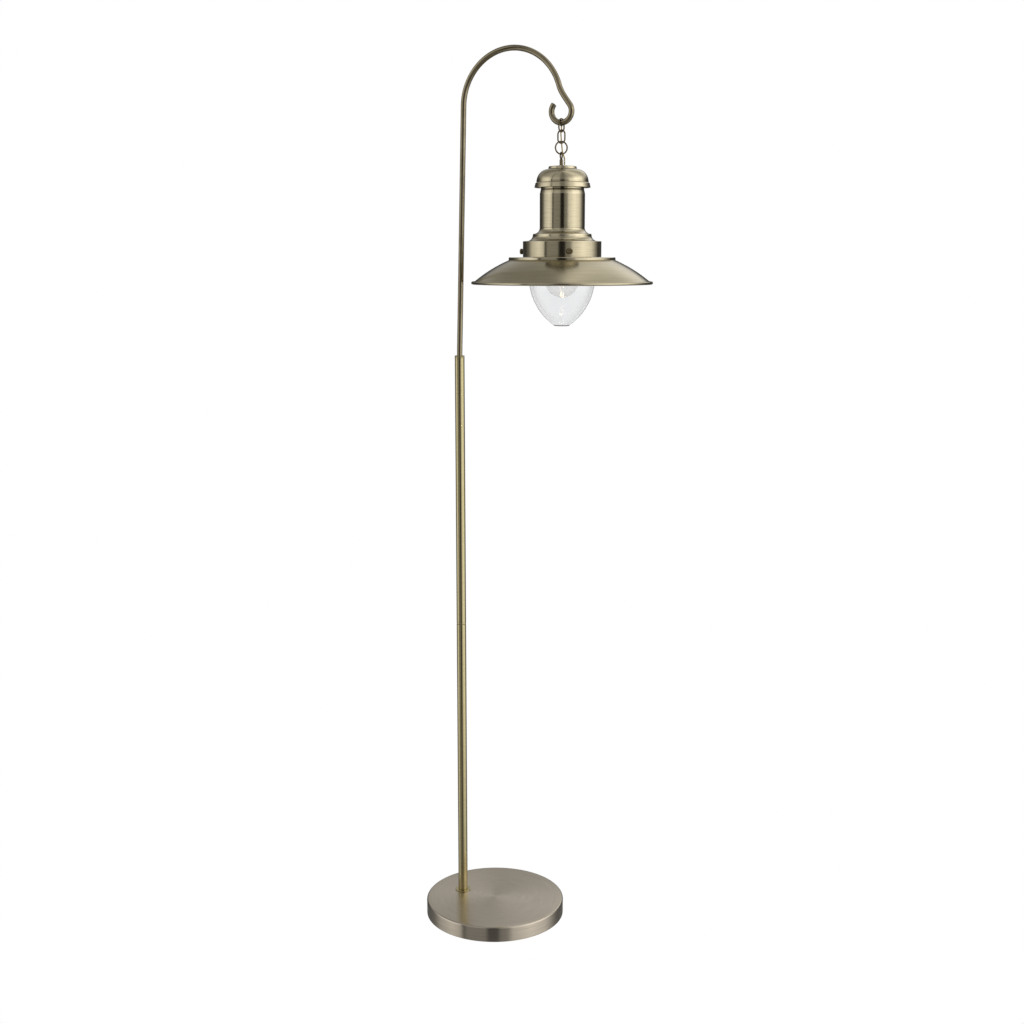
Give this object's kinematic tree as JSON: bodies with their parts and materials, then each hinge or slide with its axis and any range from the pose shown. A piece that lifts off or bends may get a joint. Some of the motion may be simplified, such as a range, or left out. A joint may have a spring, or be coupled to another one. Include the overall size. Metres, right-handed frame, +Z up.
{
  "type": "floor lamp",
  "caption": "Floor lamp: weighted round base, slim pole, arched arm with a hook, and a spun brass head with a glass globe hung on a chain.",
  "frame": {"origin": "centre of the base's underside, on the floor", "axes": "+Z up, +X from the pole towards the hanging head, +Y completes the right-handed set"},
  "size_m": [0.4308, 0.3214, 1.6291],
  "materials": {
    "antique_brass": "satin antique brass, brushed round its axis",
    "cast_iron": "rough casting",
    "felt": "felt",
    "black_plastic": "matt",
    "zinc_steel": "zinc plated",
    "gold_flex": "translucent gold sheath",
    "clear_nylon": "clear moulded nylon",
    "clear_glass": "clear glass",
    "bulb_glass": "clear bulb glass",
    "bulb_metal": "rolled metal",
    "contact_brass": "plain brass",
    "porcelain": "glazed ceramic"
  },
  "bodies": {
    "stand": {"base_cover": "antique_brass", "base_weight": "cast_iron", "base_pad": "felt", "cord_gland": "black_plastic", "foot_washer": "antique_brass", "foot_lock_washer": "zinc_steel", "foot_nut": "zinc_steel", "foot_nipple": "zinc_steel", "foot_plug": "zinc_steel", "lower_pole": "antique_brass", "upper_pole": "antique_brass", "pole_joiner": "antique_brass", "pole_top_bushing": "antique_brass", "arm_tube": "antique_brass", "hook_bush": "black_plastic", "stand_flex": "gold_flex", "chain_flex": "gold_flex"},
    "upper_link": {"chain_link_upper": "antique_brass"},
    "lower_link": {"chain_link_lower": "antique_brass"},
    "ring": {"chain_ring": "antique_brass"},
    "head": {"hanging_eye": "antique_brass", "eye_collar": "antique_brass", "cord_grip": "clear_nylon", "cap": "antique_brass", "eye_nut": "zinc_steel", "cap_pillar_1": "zinc_steel", "cap_pillar_2": "zinc_steel", "cap_pillar_3": "zinc_steel", "neck": "antique_brass", "head_nipple": "zinc_steel", "nipple_nut_upper": "zinc_steel", "nipple_nut_lower": "zinc_steel", "earth_tag": "zinc_steel", "head_flex": "gold_flex", "gallery": "antique_brass", "shade": "antique_brass", "shade_lock_ring": "antique_brass", "glass": "clear_glass", "lampholder_body": "black_plastic", "lampholder_shell": "contact_brass", "lampholder_insert": "porcelain", "lampholder_contact": "contact_brass", "bulb_cap": "bulb_metal", "bulb_glass": "bulb_glass", "bulb_stem": "bulb_glass"},
    "gallery_screw_1": {"gallery_screw_1": "antique_brass"},
    "gallery_screw_2": {"gallery_screw_2": "antique_brass"},
    "gallery_screw_3": {"gallery_screw_3": "antique_brass"}
  },
  "joints": [
    {"name": "hook_swing", "type": "hinge", "parent": "stand", "child": "upper_link", "pos_m": [0.133, 0, 1.49321], "axis": [1, 0, 0], "range_deg": [-25, 25], "deforming": ["chain_flex"]},
    {"name": "link_swing", "type": "hinge", "parent": "upper_link", "child": "lower_link", "pos_m": [0.133, 0, 1.47781], "axis": [0.2368, 0.9715, 0], "range_deg": [-15, 3], "deforming": ["chain_flex"]},
    {"name": "ring_swing", "type": "hinge", "parent": "lower_link", "child": "ring", "pos_m": [0.133, 0, 1.45871], "axis": [0.9857, -0.1685, 0], "range_deg": [-12, 15], "deforming": ["chain_flex"]},
    {"name": "head_swing", "type": "hinge", "parent": "ring", "child": "head", "pos_m": [0.133, 0, 1.44021], "axis": [0.7396, 0.673, 0], "range_deg": [-15, 3.5], "deforming": ["chain_flex"]},
    {"name": "screw_1_out", "type": "slide", "parent": "head", "child": "gallery_screw_1", "axis": [0.5664, -0.8241, 0], "range_m": [0, 0.004]},
    {"name": "screw_2_out", "type": "slide", "parent": "head", "child": "gallery_screw_2", "axis": [0.4305, 0.9026, 0], "range_m": [0, 0.004]},
    {"name": "screw_3_out", "type": "slide", "parent": "head", "child": "gallery_screw_3", "axis": [-0.9969, -0.0785, 0], "range_m": [0, 0.004]}
  ]
}
